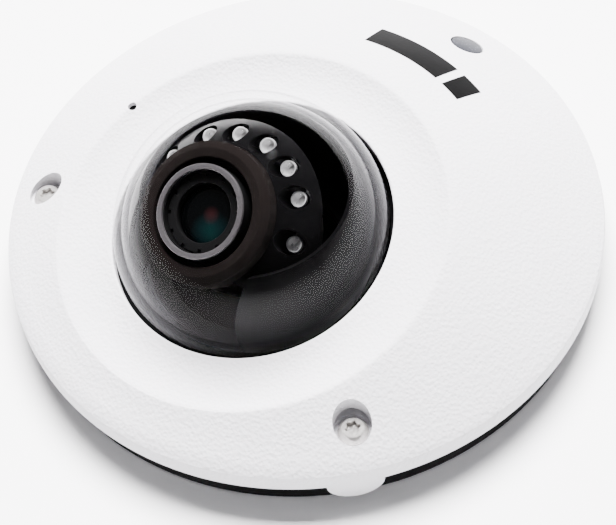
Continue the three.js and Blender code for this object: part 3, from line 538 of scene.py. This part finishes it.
# %% [markdown]
# ## Liner and hood
# Two polished black shells. The liner hides the works and turns with the lens as it pans; the hood
# tilts with the lamps. Each is a slice of a ball, cut away where the lens comes through.

# %% Liner
LINER_R, LINER_WALL, LINER_SLOT = 22.3, 1.1, 13.2
LINER_MOUTH = math.radians(57)
ring_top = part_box("pan_ring")[1].z / MM - HEART.z + 0.05
top_turn = math.pi / 2 - LINER_MOUTH
liner_bore = LINER_R - LINER_WALL
liner_line = bow(LINER_R, math.asin(ring_top / LINER_R), top_turn, 22)
liner_line += bow(liner_bore, top_turn, math.asin(ring_top / liner_bore), 22)
liner = spun("liner_shell", liner_line, 128)
combine(liner, slab((-LINER_SLOT, -60, ring_top + 1), (LINER_SLOT, 0, 60)), "DIFFERENCE")
settle(liner, pan_place)
finished(smooth(liner, 40), GLOSS, "pan_table", ["liner"])

# %% Hood with a well round each lamp
HOOD_R, HOOD_WALL, HOOD_MOUTH, HOOD_LOW = 20.6, 1.2, math.radians(62), -7
DRUM_R, LAMP_STEP, LAMP_BOARD = 12.2, 5.6, 1.2
COLLAR_WALL, WELL_GAP = 1.1, 0.6
to_lens = lens_place.inverted()
foam_z = [(to_lens @ (v.co / MM)).z for v in nodes["foam_ring"].data.vertices]
FOAM_BACK, FOAM_FRONT = min(foam_z), max(foam_z)
DRUM_FRONT = FOAM_BACK - 0.05
LED_FOOT = DRUM_FRONT - LAMP_STEP + LAMP_BOARD
LED_R, LED_RING = 1.5, DRUM_R + 2.8
lamp_turns = [math.radians(a) for a in (15, 45, 67.5, 90, 112.5, 135, 165)]
lamp_spots = [(LED_RING * math.cos(a), LED_RING * math.sin(a)) for a in lamp_turns]
mouth = DRUM_R + 0.5
rim = math.pi / 2 - HOOD_MOUTH
hood_bore = HOOD_R - HOOD_WALL
hood_line = bow(HOOD_R, rim, math.acos(mouth / HOOD_R), 14)
hood_line += bow(hood_bore, math.acos(mouth / hood_bore), rim, 14)
hood = spun("lamp_hood", hood_line, 128)
collar = spun("collar", [
    (mouth, LED_FOOT + 0.1), (mouth + COLLAR_WALL, LED_FOOT + 0.1),
    (mouth + COLLAR_WALL, DRUM_FRONT + 0.2), (mouth, DRUM_FRONT + 0.2)], 128)
combine(hood, collar, "UNION")
combine(hood, slab((-50, HOOD_LOW, -50), (50, 50, 50)), "INTERSECT")
for spot in lamp_spots:
    combine(hood, peg(LED_R + WELL_GAP, 0, 30, spot, 40), "DIFFERENCE")
settle(hood, lens_place)
finished(smooth(hood, 35), GLOSS, "tilt_head", ["hood"])

# %% [markdown]
# ## Lamps
# A clear epoxy bullet with a lead frame inside: a bright cup with the die in it. The cup is what
# sparkles, so it is modelled rather than painted on. One lamp is made and copied.

# %% One lamp and its cup, copied seven times
def lamp_outline():
    foot = LED_FOOT + 0.05
    shoulder = LED_FOOT + 1.9
    cap = [(r, z + shoulder) for r, z in bow(LED_R, 0, math.pi / 2, 10)]
    cap[-1] = (0, cap[-1][1])
    return [(0, foot), (LED_R + 0.4, foot), (LED_R + 0.4, foot + 0.65), (LED_R, foot + 0.65)] + cap


CUP_FOOT, CUP_FLOOR, CUP_LIP = LED_FOOT + 0.9, LED_FOOT + 1.1, LED_FOOT + 1.75
cup_line = [(0, CUP_FOOT), (0.55, CUP_FOOT), (0.95, CUP_LIP), (0.8, CUP_LIP),
            (0.42, CUP_FLOOR), (0, CUP_FLOOR)]
first_lamp = spun("lamp_pattern", lamp_outline(), 40, closed=False)
first_cup = spun("cup_pattern", cup_line, 24, closed=False)
for i, spot in enumerate(lamp_spots, 1):
    for pattern, word, finish, slot, shown in (
            (first_lamp, "lamp", LAMP, "clear_lamp", ["ir_led_%d" % i]),
            (first_cup, "lamp_cup", CUP, "stainless", [])):
        deselect()
        copy = bpy.data.objects.new("%s_%d" % (word, i), pattern.data.copy())
        bpy.context.scene.collection.objects.link(copy)
        settle(copy, lens_place @ Matrix.Translation((spot[0], spot[1], 0)))
        copy.visible_shadow = pattern is not first_lamp
        finished(smooth(copy, 40), finish, "tilt_head", shown)
for pattern in (first_lamp, first_cup):
    bpy.data.objects.remove(pattern)

# %% [markdown]
# ## Foam ring and lens
# The foam keeps lamp light out of the lens. The lens head has a satin ring, a stepped black recess
# and a notched ring that a key turns to hold the glass.

# %% Foam and lens rings
HEAD_R, HEAD_BACK, LENS_FRONT = 8.3, 9.0, 20.3
BARREL_FRONT, SHELF = LENS_FRONT - 0.7, LENS_FRONT - 2.5
FACE_BORE, RECESS_R, GLASS_SEAT_R = 7.3, 7.1, 5.7
THREAD_R, BARREL_BORE, BARREL_BACK = 6.0, 4.6, 2.6
KEY_BORE, KEY_R, KEY_H, NOTCHES = 5.2, 6.9, 0.9, 12
GLASS_R, GLASS_CROWN = 5.5, 1.0
FOAM_R, FOAM_BORE, FOAM_SLOPE, FOAM_GAP = 12.6, 9.5, 1.4, 1.2


def lens_piece(name, line, finish, body, stands_for, closed=True):
    piece = spun(name, line, 96, closed=closed, place=lens_place)
    return finished(smooth(piece), finish, body, [stands_for])


shoulder = math.sqrt((BUBBLE_R - BUBBLE_WALL - FOAM_GAP) ** 2 - FOAM_R ** 2)
foam_line = softened([
    (FOAM_BORE, FOAM_BACK, 0.1), (FOAM_R, FOAM_BACK, 0.2), (FOAM_R, shoulder, 0.4),
    (FOAM_R - FOAM_SLOPE, FOAM_FRONT, 0.4), (FOAM_BORE, FOAM_FRONT, 0.35)])
lens_piece("foam_shade", foam_line, FOAM, "tilt_head", "foam_ring")
front_line = softened([
    (FACE_BORE, BARREL_FRONT + 0.05), (HEAD_R, BARREL_FRONT + 0.05),
    (HEAD_R, LENS_FRONT, 0.25), (FACE_BORE, LENS_FRONT, 0.2)])
lens_piece("lens_face_ring", front_line, GREY_METAL, "lens", "lens_front_ring")
barrel_line = softened([
    (BARREL_BORE, BARREL_BACK), (THREAD_R, BARREL_BACK, 0.2), (THREAD_R, HEAD_BACK),
    (HEAD_R, HEAD_BACK, 0.3), (HEAD_R, BARREL_FRONT), (RECESS_R, BARREL_FRONT),
    (RECESS_R, SHELF), (GLASS_SEAT_R, SHELF), (GLASS_SEAT_R, SHELF - 2.8),
    (BARREL_BORE, SHELF - 2.8)])
lens_piece("lens_body", barrel_line, SATIN, "lens", "lens_barrel")
key_ring = spun("glass_key_ring", softened([
    (KEY_BORE, SHELF + 0.05), (KEY_R, SHELF + 0.05),
    (KEY_R, SHELF + KEY_H, 0.1), (KEY_BORE, SHELF + KEY_H, 0.2)]), 96)
for i in range(NOTCHES):
    notch = slab((6.3, -0.35, SHELF + 0.4), (7.4, 0.35, SHELF + 2))
    notch.data.transform(Matrix.Rotation(i * 2 * math.pi / NOTCHES, 4, "Z"))
    combine(key_ring, notch, "DIFFERENCE")
settle(key_ring, lens_place)
finished(smooth(key_ring), SATIN, "lens", ["lens_retaining_ring"])
edge = SHELF - 1.1
glass_line = [(0, SHELF - 2.7), (GLASS_R, SHELF - 2.7), (GLASS_R, edge)]
glass_line += [(GLASS_R * math.cos(a), edge + GLASS_CROWN * math.sin(a))
               for a in [math.pi / 2 * k / 16 for k in range(1, 16)]]
glass_line.append((0, edge + GLASS_CROWN))
lens_piece("front_glass", glass_line, GLASS, "lens", "front_lens", closed=False)

# %% [markdown]
# ## Cover screws and the small window
# Stainless button heads with a six-lobe socket, and the speckled window over the light sensor.

# %% Screws and window
SCREW_HEAD_R, SCREW_CROWN_R, SCREW_HEAD_H, SHANK_R, SHANK = 2.7, 1.95, 1.65, 1.5, 7
SOCKET_R, LOBE_R, LOBE_RING, SOCKET_FLOOR = 1.08, 0.36, 1.02, 0.75


def screw_piece(name, spot):
    seat, top, floor_z = SCREW_SEAT, SCREW_SEAT + SCREW_HEAD_H, SCREW_SEAT + SOCKET_FLOOR
    crown = [(SCREW_HEAD_R, seat, 0.1), (SCREW_HEAD_R, seat + 0.55, 0.3),
             (SCREW_CROWN_R, top, 0.35), (0, top)]
    shank = [(0, seat - SHANK), (SHANK_R, seat - SHANK, 0.2), (SHANK_R, seat)]
    head = spun(name, softened(shank + crown, closed=False), 64, closed=False)
    for lobe in range(6):
        turn = lobe * math.pi / 3
        at = (LOBE_RING * math.cos(turn), LOBE_RING * math.sin(turn))
        combine(head, peg(LOBE_R, floor_z, seat + 3, at, 20), "DIFFERENCE")
    combine(head, peg(SOCKET_R, floor_z, seat + 3, (0, 0), 40), "DIFFERENCE")
    return settle(head, Matrix.Translation((spot[0], spot[1], 0)))


for spot, side in zip(screw_spots, ("left", "right")):
    screw = smooth(screw_piece("screw_" + side, spot), 30)
    finished(screw, STEEL, "cover", ["cover_screw_" + side])
WINDOW_R = 3.1
pane_line = softened([(0, -1.2), (WINDOW_R, -1.2), (WINDOW_R, -0.1, 0.2), (0, -0.05)], closed=False)
pane = smooth(spun("smoked_window", pane_line, 64, closed=False, place=window_place))
finished(pane, SMOKED, "cover", ["light_window"])

# %% [markdown]
# A disc of dark mesh sits a little way down the microphone hole, which makes the hole look dark.

# %% Microphone mesh
MESH_R, MESH_LOW, MESH_TOP = 0.83, -1.5, -1.3
mesh_line = softened([
    (0, MESH_LOW), (MESH_R, MESH_LOW), (MESH_R, MESH_TOP, 0.05), (0, MESH_TOP)], closed=False)
mesh_place = dome_place @ Matrix.Translation((mic_spot[0], mic_spot[1], 0))
mic_mesh = smooth(spun("microphone_mesh", mesh_line, 24, closed=False, place=mesh_place))
finished(mic_mesh, RUBBER, "cover")

# %% [markdown]
# ## Base edge and printed mark
# The edge of the base is the only part of it seen from outside, so it gets its own smooth ring over
# the coarser one. The mark is a plain pair of bars standing in for print: a thin skin laid over the
# skirt, found from the same curve as the skirt so that it follows it exactly.

# %% Smooth base edge
FOOT_R, FOOT_BORE, FOOT_LOW, FOOT_TOP = 53.42, 52.0, 0.05, 5.68
edge_line = softened([
    (FOOT_BORE, FOOT_LOW), (FOOT_R - 0.6, FOOT_LOW), (FOOT_R, 0.62, 0.15),
    (FOOT_R, FOOT_TOP, 0.3), (FOOT_BORE, FOOT_TOP)])
base_edge = smooth(spun("base_edge", edge_line, 192, place=Matrix.Identity(4)))
finished(base_edge, CASTING, "base")


# %% Printed mark
def printed_bar(name, start, end, inner=40.9, outer=44.1, lift=0.04):
    deselect()
    bpy.ops.mesh.primitive_grid_add(x_subdivisions=36, y_subdivisions=8, size=2)
    bar = bpy.context.object
    bar.name = bar.data.name = name
    for vertex in bar.data.vertices:
        across, along = (vertex.co.x + 1) / 2, (vertex.co.y + 1) / 2
        turn = math.radians(90 - (start + (end - start) * across))
        ring = inner + (outer - inner) * along
        place = leant(Vector((ring * math.cos(turn), ring * math.sin(turn), skirt_z(ring))))
        vertex.co = place + Vector((0, 0, lift))
    take_up(bar)
    skin = bar.modifiers.new("skin", "SOLIDIFY")
    skin.thickness, skin.offset = 0.03, 1
    bpy.ops.object.modifier_apply(modifier="skin")
    settle(bar, Matrix.Identity(4))
    return finished(smooth(bar), INK, "cover")


printed_bar("mark_long_bar", -16, 7)
printed_bar("mark_short_bar", 9.5, 16)

# %% [markdown]
# ## Finishes for the pieces that keep their shape
# The working parts inside already have the right form, so they only take a better finish.

# %% Refinish the remaining pieces
by_slot = {
    "black_casting": CASTING, "black_plastic": SATIN, "black_rubber": RUBBER, "stainless": STEEL,
    "green_board": BOARD, "black_chip": CHIP, "cream_plastic": CREAM, "grey_metal": GREY_METAL,
    "smoked_window": SMOKED, "coated_glass": GLASS, "gloss_black": GLOSS, "white_paint": WHITE,
    "black_foam": FOAM, "clear_dome": CLEAR, "clear_lamp": LAMP}
darker = {"led_board": DARK_BOARD, "microphone": CHIP}
for part in frame["record"]["subparts"]:
    mesh = nodes[part["node"]].data
    mesh.materials.clear()
    mesh.materials.append(darker.get(part["node"]) or by_slot[part["material_slot"]])
print("refinished", len(nodes))

# %% [markdown]
# ## Floor, light and camera
# A pale floor under large soft lights. The bigger the light, the softer the edge of its shadow. The
# two large ones are kept out of reflections, so the bubble stays clear to look into, and one small
# one is left to put a sparkle on the lamps.

# %% Stage
deselect()
bpy.ops.mesh.primitive_plane_add(size=4, location=(0, 0, -0.0003))
floor = bpy.context.object
floor.name = "floor"
pale = Finish("pale_floor", Roughness=0.9)
pale.feed("Base Color", pale.ramp(pale.noise(4.0), [(0.3, grey(0.93)), (0.7, grey(0.94))]))
floor.data.materials.append(pale.material)


def soft_light(name, at, size, power, tint=(1, 1, 1), mirrored=True):
    light = bpy.data.lights.new(name, "AREA")
    light.shape, light.size, light.energy, light.color = "SQUARE", size, power, tint
    lamp = bpy.data.objects.new(name, light)
    bpy.context.scene.collection.objects.link(lamp)
    lamp.location = at
    lamp.rotation_euler = (Vector((0, 0, 0.02)) - Vector(at)).to_track_quat("-Z", "Y").to_euler()
    lamp.visible_glossy = lamp.visible_transmission = mirrored
    return lamp


soft_light("key_light", (-0.38, 0.46, 1.08), 0.7, 168.0, (1.0, 0.985, 1.0), mirrored=False)
soft_light("fill_light", (0.75, -0.35, 0.80), 0.6, 3.5, (0.97, 0.96, 1.0), mirrored=False)
soft_light("lamp_sparkle", (-0.10, 0.42, 0.62), 0.07, 0.5)
world = bpy.data.worlds.new("studio")
bpy.context.scene.world = world
world.use_nodes = True
world.node_tree.nodes["Background"].inputs["Color"].default_value = (0.98, 0.98, 1.0, 1)
world.node_tree.nodes["Background"].inputs["Strength"].default_value = 0.08

# %% Camera
view_to = Vector((-0.4374, 0.3691, -0.8200)).normalized()
level = view_to.cross(Vector((0, 0, 1))).normalized()
over = level.cross(view_to)
ROLL = math.radians(8.162)
right = level * math.cos(ROLL) - over * math.sin(ROLL)
up = level * math.sin(ROLL) + over * math.cos(ROLL)
eye = bpy.data.cameras.new("eye")
eye.sensor_width, eye.lens = 36.0, 36.0 * 2000 / 616
eye.clip_start, eye.clip_end = 0.01, 10
camera = bpy.data.objects.new("camera", eye)
bpy.context.scene.collection.objects.link(camera)
turned = Matrix((right, up, -view_to)).transposed().to_4x4()
camera.matrix_world = Matrix.Translation(Vector((166.09, -140.67, 306.2)) * MM) @ turned
bpy.context.scene.camera = camera
